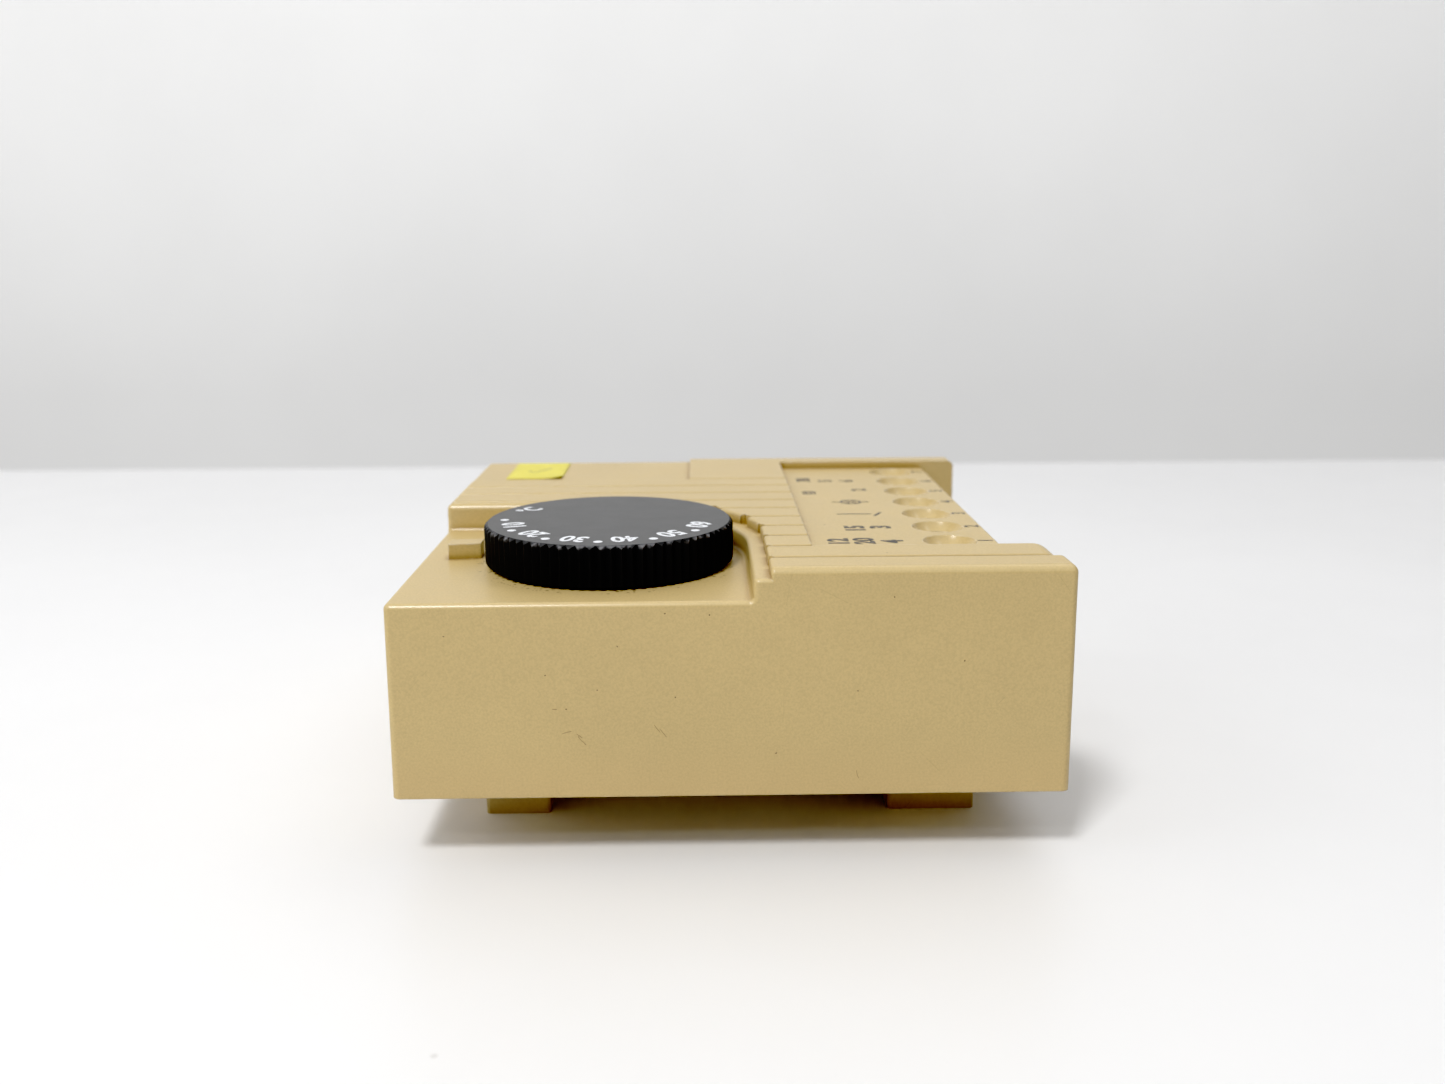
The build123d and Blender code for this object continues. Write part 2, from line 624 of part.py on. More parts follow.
def clamp_screw(y):
    screw = rod_z(TERMINAL_X, y, 20.35, 25.2, 1.5) + rod_z(TERMINAL_X, y, 24.97, 26.9, 2.3)
    return screw - box(TERMINAL_X - 0.4, TERMINAL_X + 0.4, y - 3, y + 3, 25.9, 27.5)


def test_sticker():
    sticker = box(-31.0, -23.0, 21.0, 34.8, LABEL_Z, LABEL_Z + 0.12)
    return fillet(sticker.edges().filter_by(Axis.Z), 0.4)


# --------------------------------------------------------------- all pieces
for build in (
    front_cover, rear_base, rail_latch,
    setting_dial, dial_spindle, spindle_bush, retaining_clip, setpoint_cam,
    setting_lever, lever_pin, calibration_screw, lever_spring, strip_clamp, bimetal_strip,
    switch_body, switch_lid, switch_plunger, contact_blade, moving_contact,
    supply_link, break_conductor, make_conductor, common_conductor, neutral_conductor,
    feedback_resistor, terminal_block, test_sticker,
):
    save(build.__name__, build())

save("cover_screws", *[cover_screw(x, y) for x, y in POSTS])
save("clamp_rivets", *[clamp_rivet(x) for x in RIVETS_X])
save(
    "resistor_leads",
    resistor_lead(RESISTOR_X0, RESISTOR_X0 - LEAD_REACH),
    resistor_lead(RESISTOR_X1, RESISTOR_X1 + LEAD_REACH),
)
for k, y in enumerate(TERMINALS_Y, start=1):
    save("clamp_cage_%d" % k, clamp_cage(y))
    save("clamp_screw_%d" % k, clamp_screw(y))
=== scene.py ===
# A thermostat with a beige housing, a black dial marked in degrees Celsius and seven clamp
# screws. It lies on the table at z = 0: the dial's axis runs along Z and the front wall faces -Y.
# The script dresses the CAD pieces, adds the printing and the label, and sets the stage.
import json
import math
from functools import cached_property, reduce

import bmesh
import bpy
from mathutils import Matrix, Vector


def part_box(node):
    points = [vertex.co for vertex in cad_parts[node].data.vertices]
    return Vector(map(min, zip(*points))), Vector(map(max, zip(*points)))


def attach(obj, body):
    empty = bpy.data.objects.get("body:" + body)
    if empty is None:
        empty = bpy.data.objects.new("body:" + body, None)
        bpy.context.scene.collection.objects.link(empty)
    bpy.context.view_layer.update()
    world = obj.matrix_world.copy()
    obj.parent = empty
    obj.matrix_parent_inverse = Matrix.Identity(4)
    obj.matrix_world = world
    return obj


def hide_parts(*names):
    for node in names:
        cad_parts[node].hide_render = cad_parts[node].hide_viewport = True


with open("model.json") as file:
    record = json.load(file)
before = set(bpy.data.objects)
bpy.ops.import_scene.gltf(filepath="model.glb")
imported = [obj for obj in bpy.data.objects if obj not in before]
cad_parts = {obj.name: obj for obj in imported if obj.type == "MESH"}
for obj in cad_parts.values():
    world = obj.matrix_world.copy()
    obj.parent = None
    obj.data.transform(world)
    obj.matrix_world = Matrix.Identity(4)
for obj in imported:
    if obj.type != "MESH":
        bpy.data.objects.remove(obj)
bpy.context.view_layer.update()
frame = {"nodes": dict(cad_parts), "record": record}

MM = 0.001
scene = bpy.context.scene


def plan_centre(name):
    """The x and y of the middle of a CAD piece, in metres."""
    low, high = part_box(name)
    return (low.x + high.x) / 2, (low.y + high.y) / 2


DIAL_LOW, DIAL_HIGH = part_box("setting_dial")
DIAL = plan_centre("setting_dial")
DIAL_RADIUS = (DIAL_HIGH.x - DIAL_LOW.x) / 2
DIAL_TOP = DIAL_HIGH.z
LABEL_LOW, LABEL_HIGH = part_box("test_sticker")
SCREWS = [plan_centre("clamp_screw_%d" % number) for number in range(1, 8)]


# ---------------------------------------------------------------- node trees
class Net:
    """The node tree of a material or a world, with short ways of adding to it."""

    def __init__(self, owner, output="ShaderNodeOutputMaterial"):
        self.owner = owner
        owner.use_nodes = True
        self.tree = owner.node_tree
        self.tree.nodes.clear()
        self.surface = self.add(output).inputs["Surface"]

    @cached_property
    def pos(self):
        return self.add("ShaderNodeTexCoord").outputs["Object"]

    @cached_property
    def geometry(self):
        return self.add("ShaderNodeNewGeometry").outputs

    @property
    def normal(self):
        return self.geometry["Normal"]

    def add(self, kind, **props):
        node = self.tree.nodes.new(kind)
        for key, value in props.items():
            setattr(node, key, value)
        return node

    def put(self, socket, value):
        """Links a socket, or sets a constant."""
        if isinstance(value, bpy.types.NodeSocket):
            self.tree.links.new(value, socket)
        elif socket.type == "RGBA":
            socket.default_value = (*value[:3], 1.0)
        else:
            socket.default_value = value

    def put_all(self, node, values):
        for socket, value in zip(node.inputs, values):
            self.put(socket, value)

    # numbers and vectors
    def math(self, op, *values, clamp=False):
        node = self.add("ShaderNodeMath", operation=op, use_clamp=clamp)
        self.put_all(node, values)
        return node.outputs[0]

    def times(self, *values):
        return reduce(lambda a, b: self.math("MULTIPLY", a, b), values)

    def highest(self, *values):
        return reduce(lambda a, b: self.math("MAXIMUM", a, b), values)

    def vec(self, op, *values):
        node = self.add("ShaderNodeVectorMath", operation=op)
        self.put_all(node, values)
        return node.outputs["Value" if op in ("DOT_PRODUCT", "LENGTH") else "Vector"]

    def scale(self, vector, factor):
        node = self.add("ShaderNodeVectorMath", operation="SCALE")
        self.put(node.inputs[0], vector)
        self.put(node.inputs["Scale"], factor)
        return node.outputs["Vector"]

    def span(self, value, over, to=(0.0, 1.0), smooth=True):
        """Carries the range "over" to the range "to", held at both ends."""
        kind = "SMOOTHSTEP" if smooth else "LINEAR"
        node = self.add("ShaderNodeMapRange", interpolation_type=kind, clamp=True)
        self.put_all(node, (value, *over, *to))
        return node.outputs[0]

    def split(self, vector):
        node = self.add("ShaderNodeSeparateXYZ")
        self.put(node.inputs[0], vector)
        return node.outputs

    def join(self, x, y, z):
        node = self.add("ShaderNodeCombineXYZ")
        self.put_all(node, (x, y, z))
        return node.outputs[0]

    def stretch(self, factors):
        return self.vec("MULTIPLY", self.pos, factors)

    def plan_distance(self, x, y, centre):
        """Distance from an upright axis through centre."""
        x_away = self.math("SUBTRACT", x, centre[0])
        y_away = self.math("SUBTRACT", y, centre[1])
        return self.vec("LENGTH", self.join(x_away, y_away, 0.0))

    def in_surface(self, vector):
        """The part of a vector that lies in the surface."""
        rise = self.vec("DOT_PRODUCT", vector, self.normal)
        return self.vec("SUBTRACT", vector, self.scale(self.normal, rise))

    def facing(self, direction, over=(0.6, 0.8)):
        return self.span(self.vec("DOT_PRODUCT", self.normal, direction), over)

    # colours
    def mix(self, factor, first, second, mode="MIX"):
        node = self.add("ShaderNodeMix", data_type="RGBA", blend_type=mode)
        self.put(node.inputs[0], factor)
        self.put(node.inputs[6], first)
        self.put(node.inputs[7], second)
        return node.outputs[2]

    def cover(self, colour, mask, amount, tint):
        return self.mix(self.times(mask, amount), colour, tint)

    def shade(self, colour, tone):
        return self.mix(1.0, colour, self.join(tone, tone, tone), "MULTIPLY")

    # patterns
    def noise(self, scale, detail=2.0, rough=0.5, at=None, twist=0.0):
        node = self.add("ShaderNodeTexNoise", noise_dimensions="3D")
        self.put(node.inputs["Vector"], at or self.pos)
        self.put(node.inputs["Scale"], scale)
        self.put(node.inputs["Detail"], detail)
        self.put(node.inputs["Roughness"], rough)
        self.put(node.inputs["Distortion"], twist)
        return node.outputs["Fac"]

    def cells(self, scale):
        node = self.add("ShaderNodeTexVoronoi", voronoi_dimensions="3D")
        self.put(node.inputs["Vector"], self.pos)
        self.put(node.inputs["Scale"], scale)
        return node.outputs

    def specks(self, scale, share, size):
        """Small round dots in a share of the cells."""
        cells = self.cells(scale)
        pick = self.split(cells["Color"])
        chosen = self.math("GREATER_THAN", pick[0], 1.0 - share)
        radius = self.times(pick[1], size)
        return self.times(chosen, self.math("LESS_THAN", cells["Distance"], radius))

    def hairlines(self, scale, share, width, length):
        """Short straight scratches in the surface, at most one a cell; sizes in metres."""
        cells = self.cells(scale)
        flat = self.in_surface(self.vec("SUBTRACT", self.pos, cells["Position"]))
        way = self.in_surface(self.vec("SUBTRACT", cells["Color"], (0.5, 0.5, 0.5)))
        way = self.vec("NORMALIZE", way)
        along = self.vec("DOT_PRODUCT", flat, way)
        side = self.vec("LENGTH", self.vec("SUBTRACT", flat, self.scale(way, along)))
        near = self.span(side, over=(width * 0.3, width), to=(1.0, 0.0))
        along = self.math("ABSOLUTE", along)
        within = self.span(along, over=(length * 0.6, length), to=(1.0, 0.0))
        pick = self.split(cells["Color"])
        return self.times(near, within, self.math("GREATER_THAN", pick[2], 1.0 - share))

    def segments(self, plane, lines, width):
        """Slightly wavy marks in the "xz" or "xy" plane; the lines are in millimetres."""
        x, y, z = self.split(self.pos)
        point = self.join(x, z if plane == "xz" else y, 0.0)
        ripple = self.math("SUBTRACT", self.noise(scale=900.0), 0.5)
        wander = self.times(ripple, 0.35 * MM)
        point = self.vec("ADD", point, self.join(wander, wander, 0.0))
        marks = []
        for x0, y0, x1, y1 in lines:
            start = Vector((x0 * MM, y0 * MM, 0))
            reach = Vector((x1 * MM, y1 * MM, 0)) - start
            away = self.vec("SUBTRACT", point, tuple(start))
            along = self.vec("DOT_PRODUCT", away, tuple(reach))
            inverse = 1.0 / max(reach.length_squared, 1e-12)
            share = self.math("MULTIPLY", along, inverse, clamp=True)
            nearest = self.scale(tuple(reach), share)
            distance = self.vec("LENGTH", self.vec("SUBTRACT", away, nearest))
            marks.append(self.span(distance, over=(width * 0.35, width), to=(1.0, 0.0)))
        return self.highest(*marks)

    # surface shape
    def bevel(self, radius):
        node = self.add("ShaderNodeBevel", samples=4)
        self.put(node.inputs["Radius"], radius)
        return node.outputs["Normal"]

    def hollow(self, distance):
        """1 in a tight corner, 0 in the open."""
        node = self.add("ShaderNodeAmbientOcclusion", samples=5, only_local=True)
        self.put(node.inputs["Distance"], distance)
        return self.math("SUBTRACT", 1.0, node.outputs["AO"])

    def bump(self, height, distance, strength=1.0, normal=None):
        node = self.add("ShaderNodeBump")
        self.put(node.inputs["Strength"], strength)
        self.put(node.inputs["Distance"], distance)
        self.put(node.inputs["Height"], height)
        if normal is not None:
            self.put(node.inputs["Normal"], normal)
        return node.outputs["Normal"]

    # shaders
    def shader(self, colour, rough, metallic=0.0, normal=None, spec=0.5, sss=0.0,
               sheen=0.0, glow=0.0):
        node = self.add("ShaderNodeBsdfPrincipled")
        values = {
            "Base Color": colour, "Roughness": rough, "Metallic": metallic,
            "Specular IOR Level": spec,
        }
        if normal is not None:
            values["Normal"] = normal
        if glow:
            values.update({"Emission Color": colour, "Emission Strength": glow})
        if sheen:
            values["Sheen Weight"] = sheen
        if sss:
            values["Subsurface Weight"] = sss
            values["Subsurface Radius"] = (1.0, 0.6, 0.3)
            values["Subsurface Scale"] = 0.8 * MM
        for key, value in values.items():
            self.put(node.inputs[key], value)
        return node.outputs[0]

    def background(self, colour, strength):
        node = self.add("ShaderNodeBackground")
        self.put(node.inputs["Color"], colour)
        self.put(node.inputs["Strength"], strength)
        return node.outputs[0]

    def blend(self, factor, first, second):
        node = self.add("ShaderNodeMixShader")
        self.put_all(node, (factor, first, second))
        return node.outputs[0]

    def by_camera(self, seen, bounced):
        """One shader for what the camera sees, another for bounced light."""
        path = self.add("ShaderNodeLightPath")
        return self.blend(path.outputs["Is Camera Ray"], bounced, seen)

    def done(self, shader):
        self.put(self.surface, shader)
        return self.owner


def new_net(name):
    return Net(bpy.data.materials.new(name))


def scaled(colour, factor, lift=0.0):
    return tuple(min(1.0, part * factor + lift) for part in colour)


# ---------------------------------------------------------------- kinds of material
def plastic(
    name,
    base,
    rough=0.45,
    grain=2600.0,  # noise scale of the moulded grain
    grain_height=9e-6,
    mottle=0.05,  # slow shade changes, as a share of the colour
    cloud=0.045,  # spread of the roughness, and strength of the slow waves
    pitting=0.045,  # how far the grain darkens the colour
    # tint and strength of the dirt and painted shade in tight corners
    dirt_and_shade_tint=(0.10, 0.055, 0.02),
    dirt_and_shade_amount=0.5,
    # strength of the painted shade in hollows
    hollow_shade=0.0,
    speck=(0.09, 0.055, 0.03),
    speck_share=0.035,
    edge=(0.92, 0.86, 0.68),
    edge_amount=0.25,
    edge_radius=0.00016,
    scratch=0.35,
    spec=0.5,
    dust=0.0,
    sss=0.0,
    extra=None,  # adds one piece's own marks
):
    """Moulded plastic: grain, shade changes, soiling and painted shade in corners and hollows,
    rubbed edges partly lightened as a painted highlight, dots, hairlines.
    """
    net = new_net(name)
    slow = net.noise(scale=46.0, detail=3.0, rough=0.55)
    middle = net.noise(scale=330.0, detail=3.0, rough=0.6)
    fine = net.noise(scale=grain, detail=3.0, rough=0.62)
    dark, light = scaled(base, 1 - mottle), scaled(base, 1 + mottle)
    colour = net.mix(net.span(slow, over=(0.35, 0.65)), dark, light)
    tone = net.span(middle, over=(0.3, 0.7), to=(0.985, 1.015), smooth=False)
    colour = net.shade(colour, tone)
    pit_range = (1.0 - pitting, 1.0 + pitting * 0.5)
    colour = net.shade(colour, net.span(fine, over=(0.32, 0.62), to=pit_range, smooth=False))

    # rubbed edges; their lighter colour is partly a painted highlight
    rounded = net.bevel(edge_radius)
    turn = net.span(net.vec("DOT_PRODUCT", rounded, net.normal), over=(0.992, 0.90))
    shut = net.hollow(1.1 * MM)
    open_air = net.span(shut, over=(0.45, 0.15))
    patches = net.span(net.noise(scale=520.0, detail=3.0, rough=0.6), over=(0.42, 0.6))
    edge_wear_and_highlight = net.times(turn, open_air, patches)
    colour = net.cover(colour, edge_wear_and_highlight, amount=edge_amount, tint=edge)

    # painted shade: the colour deepens in every hollow
    film = net.span(shut, over=(0.07, 0.50))
    hollow_shaded_colour = net.mix(1.0, colour, (0.50, 0.38, 0.22), "MULTIPLY")
    colour = net.cover(colour, film, amount=hollow_shade, tint=hollow_shaded_colour)

    # dirt in tight corners, deepened with painted shade
    patches = net.span(net.noise(scale=1500.0, detail=4.0, rough=0.7), over=(0.38, 0.62))
    dirt_and_shade = net.times(net.span(shut, over=(0.38, 0.85)), patches)
    colour = net.cover(colour, dirt_and_shade, amount=dirt_and_shade_amount, tint=dirt_and_shade_tint)

    # dots and hairline scratches
    dots = net.highest(
        net.specks(scale=420.0, share=speck_share, size=0.11),
        net.specks(scale=900.0, share=speck_share * 0.8, size=0.13),
    )
    colour = net.cover(colour, dots, amount=0.75, tint=speck)
    lines = net.hairlines(scale=95.0, share=0.34, width=0.035 * MM, length=2.6 * MM)
    lines = net.times(lines, net.span(net.noise(scale=1200.0), over=(0.4, 0.55)))
    colour = net.cover(colour, lines, amount=scratch, tint=scaled(base, 0.62))
    scratch_depth = -1.2  # in grain heights
    height = net.math("ADD", fine, net.times(lines, scratch_depth))

    rough_range = (rough - cloud, rough + cloud)
    roughness = net.span(middle, over=(0.3, 0.7), to=rough_range, smooth=False)
    dirt_dulling, wear_polish = 0.25, 0.10
    roughness = net.math("ADD", roughness, net.times(dirt_and_shade, dirt_dulling), clamp=True)
    roughness = net.math("SUBTRACT", roughness, net.times(edge_wear_and_highlight, wear_polish))
    if dust:
        lint = net.specks(scale=1350.0, share=0.05, size=0.16)
        colour = net.cover(colour, lint, amount=dust, tint=(0.62, 0.60, 0.55))
    if extra:
        colour, roughness, height = extra(net, colour, roughness, height)
    waves = net.noise(scale=210.0)
    normal = net.bump(waves, distance=1.0e-5, strength=cloud * 8.0, normal=rounded)
    normal = net.bump(height, distance=grain_height, normal=normal)
    seen = net.shader(colour, roughness, normal=normal, spec=spec, sss=sss)
    return net.done(net.by_camera(seen, net.shader(base, rough, spec=spec)))


def metal(name, base, tarnish, rough=0.32, tarnish_amount=0.45, lay=(1.0, 1.0, 14.0)):
    """Metal with a lay of fine lines, cloudy tarnish, painted edge highlights and darker tight
    corners.
    """
    net = new_net(name)
    cloud = net.noise(scale=260.0, detail=4.0, rough=0.6, twist=0.6)
    fine = net.noise(scale=2600.0, detail=3.0, rough=0.6)
    lines = net.noise(scale=1500.0, rough=0.6, at=net.stretch(lay))
    tarnished = net.span(cloud, over=(0.42, 0.68))
    colour = net.cover(base, tarnished, amount=tarnish_amount, tint=tarnish)
    rounded = net.bevel(0.09 * MM)
    turn = net.span(net.vec("DOT_PRODUCT", rounded, net.normal), over=(0.99, 0.88))
    # painted highlight: the edges are lighter in colour
    edge_highlight = scaled(base, 1.35, lift=0.08)
    colour = net.cover(colour, turn, amount=0.35, tint=edge_highlight)
    # darker in tight corners, in patches
    patches = net.span(net.noise(scale=1300.0, detail=3.0), over=(0.35, 0.6))
    dark_corners = net.times(net.span(net.hollow(0.9 * MM), over=(0.35, 0.85)), patches)
    colour = net.cover(colour, dark_corners, amount=0.6, tint=(0.05, 0.04, 0.03))
    tone = net.span(lines, over=(0.3, 0.7), to=(0.88, 1.08), smooth=False)
    colour = net.shade(colour, tone)

    dirt_dulling, tarnish_dulling = 0.3, 0.12
    roughness = net.span(lines, over=(0.3, 0.7), to=(rough - 0.07, rough + 0.10))
    roughness = net.math("ADD", roughness, net.times(dark_corners, dirt_dulling), clamp=True)
    dulled = net.times(net.span(cloud, over=(0.42, 0.68)), tarnish_dulling)
    roughness = net.math("ADD", roughness, dulled, clamp=True)
    line_share, fine_share = 1.0, 0.6  # of the bump height
    height = net.math("ADD", net.times(lines, line_share), net.times(fine, fine_share))
    normal = net.bump(height, distance=3e-6, normal=rounded)
    seen = net.shader(colour, roughness, metallic=1.0, normal=normal)
    return net.done(net.by_camera(seen, net.shader(base, rough, metallic=1.0)))


def paper(name, base):
    """A printed paper label: fibres, soiled edges and a faint tick."""
    net = new_net(name)
    fibre = net.noise(scale=2600.0, detail=4.0, rough=0.7, at=net.stretch((1.0, 0.35, 1.0)))
    cloud = net.noise(scale=240.0, detail=3.0, rough=0.55)
    colour = net.mix(net.span(cloud, over=(0.35, 0.65)), scaled(base, 0.93), base)
    pale = net.span(fibre, over=(0.5, 0.75))
    colour = net.cover(colour, pale, amount=0.22, tint=(0.95, 0.88, 0.38))

    # soil along the edges
    x, y, _ = net.split(net.pos)
    sides = []
    for along, low, high in ((x, LABEL_LOW.x, LABEL_HIGH.x), (y, LABEL_LOW.y, LABEL_HIGH.y)):
        from_low = net.math("SUBTRACT", along, low)
        sides.append(net.math("MINIMUM", from_low, net.math("SUBTRACT", high, along)))
    near = net.math("MINIMUM", *sides)
    patches = net.span(net.noise(scale=900.0, detail=3.0, rough=0.6), over=(0.35, 0.65))
    soil = net.times(net.span(near, over=(0.7 * MM, 0.0)), patches)
    colour = net.cover(colour, soil, amount=0.35, tint=(0.42, 0.31, 0.06))

    # the tick, placed from the middle of the label, in millimetres
    mid_x, mid_y = (value / MM for value in plan_centre("test_sticker"))
    foot = (mid_x - 0.5, mid_y - 1.6)
    strokes = [(mid_x - 1.5, mid_y - 0.2, *foot), (*foot, mid_x + 1.5, mid_y + 1.9)]
    tick = net.segments("xy", strokes, width=0.26 * MM)
    fading = net.noise(scale=1400.0, detail=3.0, rough=0.6)
    faded = net.times(tick, net.span(fading, over=(0.35, 0.6), to=(0.45, 0.85)))
    colour = net.mix(faded, colour, (0.16, 0.15, 0.10))
    normal = net.bump(fibre, distance=8e-6)
    seen = net.shader(colour, rough=0.55, normal=normal, spec=0.35, sheen=0.05)
    return net.done(net.by_camera(seen, net.shader(base, rough=0.6)))


def ink(name, base, under, wear, thin=0.10):
    """Printed ink, worn through in places to the plastic below."""
    net = new_net(name)
    patches = net.noise(scale=1500.0, detail=4.0, rough=0.7)
    kept = net.span(patches, over=(wear - 0.12, wear - 0.02))
    film = net.noise(scale=5200.0, rough=0.6)
    film = net.span(film, over=(0.30, 0.6), to=(1.0 - thin, 1.0))
    colour = net.shade(net.mix(kept, under, base), film)
    normal = net.bump(net.noise(scale=3800.0), distance=6e-6)
    roughness = net.span(kept, over=(0.0, 1.0), to=(0.5, 0.42))
    return net.done(net.shader(colour, roughness, normal=normal, spec=0.4))


# ---------------------------------------------------------------- marks of single pieces
# x and z of both ends of each mark on the front wall, in millimetres
FRONT_SCRATCHES = [
    (-17.7, 14.55, -16.8, 14.78), (-16.2, 14.55, -15.6, 14.15), (-16.0, 14.30, -15.3, 13.30),
    (-8.1, 15.4, -7.6, 14.6), (-7.5, 14.9, -6.9, 14.1), (13.0, 10.1, 13.3, 9.3),
    (-18.6, 17.3, -18.2, 17.25),
]
FRONT_DOTS = [
    (-19.3, 20.9, -19.25, 20.95), (-13.95, 19.3, -13.93, 19.32), (-6.9, 27.4, -6.85, 27.4),
    (-2.3, 27.2, -2.3, 27.25), (-17.2, 17.3, -17.15, 17.3), (-5.9, 18.4, -5.9, 18.43),
    (13.0, 18.9, 13.05, 18.9), (-11.8, 24.0, -11.75, 23.95), (16.6, 28.9, 16.6, 28.94),
    (24.0, 22.0, 24.0, 22.04), (-29.5, 25.2, -29.45, 25.2), (4.5, 12.1, 4.55, 12.15),
]


def cover_marks(net, colour, roughness, height):
    """The housing's marks: front wall, crumbs round the dial, screw holes, rims; with painted
    bounce light on the lower walls and a painted highlight on the rims.
    """
    front = net.facing((0.0, -1.0, 0.0))
    cuts = net.times(net.segments("xz", FRONT_SCRATCHES, width=0.05 * MM), front)
    dots = net.times(net.segments("xz", FRONT_DOTS, width=0.10 * MM), front)
    colour = net.cover(colour, cuts, amount=0.65, tint=(0.20, 0.12, 0.045))
    colour = net.cover(colour, dots, amount=0.85, tint=(0.10, 0.055, 0.025))
    cut_depth = 1.5  # in grain heights
    height = net.math("SUBTRACT", height, net.times(cuts, cut_depth))

    # crumbs of dirt lying round the dial
    x, y, z = net.split(net.pos)
    radius = net.plan_distance(x, y, DIAL)
    crumbs = net.times(
        net.span(radius, over=(DIAL_RADIUS + 0.0016, DIAL_RADIUS + 0.0002)),
        net.span(radius, over=(DIAL_RADIUS - 0.003, DIAL_RADIUS - 0.001)),
        net.facing((0.0, 0.0, 1.0), over=(0.9, 0.97)),
        net.math("LESS_THAN", z, 0.0292),  # below the top panel
        net.highest(
            net.specks(scale=2600.0, share=0.45, size=0.60),
            net.specks(scale=1500.0, share=0.35, size=0.44),
        ),
        net.span(net.noise(scale=260.0, detail=3.0, rough=0.6), over=(0.46, 0.56)),
    )
    colour = net.cover(colour, crumbs, amount=0.8, tint=(0.13, 0.075, 0.03))

    # painted bounce light: the lower walls are a shade warmer
    low_wall_bounce_light = net.span(z, over=(0.0150, 0.0078))
    colour = net.cover(colour, low_wall_bounce_light, amount=0.22, tint=(0.62, 0.42, 0.19))

    # smooth, shiny lead-ins of the screwdriver holes, below the panel's top face
    holes = []
    for screw in SCREWS:
        holes.append(net.span(net.plan_distance(x, y, screw), over=(0.0032, 0.0030)))
    deep = net.times(net.highest(*holes), net.math("LESS_THAN", z, 0.03108))
    roughness = net.mix(deep, roughness, (0.12, 0.12, 0.12))
    height = net.times(height, net.span(deep, over=(0.0, 1.0), to=(1.0, 0.15)))

    # rounded front rims: glossier, with a painted highlight lightening their colour
    rim_gloss_and_highlight = net.facing((0.0, -0.707, 0.707), over=(0.82, 0.97))
    roughness = net.cover(roughness, rim_gloss_and_highlight, amount=0.8, tint=(0.22, 0.22, 0.22))
    colour = net.cover(colour, rim_gloss_and_highlight, amount=0.30, tint=(0.74, 0.60, 0.34))

    # faint flow shading
    along = net.stretch((1.0, 1.0, 2.6))
    flow = net.noise(scale=18.0, detail=3.0, at=along, twist=1.2)
    colour = net.shade(colour, net.span(flow, over=(0.35, 0.65), to=(0.985, 1.012)))
    return colour, roughness, height


def dial_marks(net, colour, roughness, height):
    """The dial's own marks: turning lines on its face, rubbed knurls, white dust."""
    x, y, z = net.split(net.pos)
    radius = net.plan_distance(x, y, DIAL)
    top = net.facing((0.0, 0.0, 1.0), over=(0.9, 0.97))
    ring_scale = 2600.0
    rings = net.noise(scale=1.0, rough=0.6, at=net.join(net.times(radius, ring_scale), 0.0, 0.0))
    haze = net.span(net.noise(scale=150.0, detail=4.0, rough=0.65), over=(0.42, 0.66))
    haze = net.times(top, haze)
    colour = net.cover(colour, haze, amount=0.10, tint=(0.050, 0.049, 0.047))

    # worn tips of the knurls, just below the face
    rub = net.times(
        net.span(z, over=(DIAL_TOP - 0.0007, DIAL_TOP - 0.00005)),
        net.span(radius, over=(DIAL_RADIUS - 0.0006, DIAL_RADIUS - 0.00005)),
        net.span(net.noise(scale=820.0, detail=3.0, rough=0.6), over=(0.45, 0.62)),
    )
    colour = net.cover(colour, rub, amount=0.65, tint=(0.30, 0.30, 0.32))

    # lint on the side, dust on the face
    side = net.math("SUBTRACT", 1.0, top)
    lint = net.highest(
        net.specks(scale=1500.0, share=0.05, size=0.15),
        net.specks(scale=700.0, share=0.035, size=0.10),
    )
    lint = net.times(side, lint)
    colour = net.cover(colour, lint, amount=0.7, tint=(0.55, 0.54, 0.50))
    dust = net.times(top, net.specks(scale=1100.0, share=0.035, size=0.10))
    colour = net.cover(colour, dust, amount=0.5, tint=(0.45, 0.44, 0.42))
    rub_dulling, side_dulling, ring_height = 0.1, 0.25, 0.35
    roughness = net.math("ADD", roughness, net.times(rub, rub_dulling), clamp=True)
    roughness = net.math("ADD", roughness, net.times(side, side_dulling), clamp=True)
    height = net.math("ADD", height, net.times(rings, top, ring_height))
    return colour, roughness, height


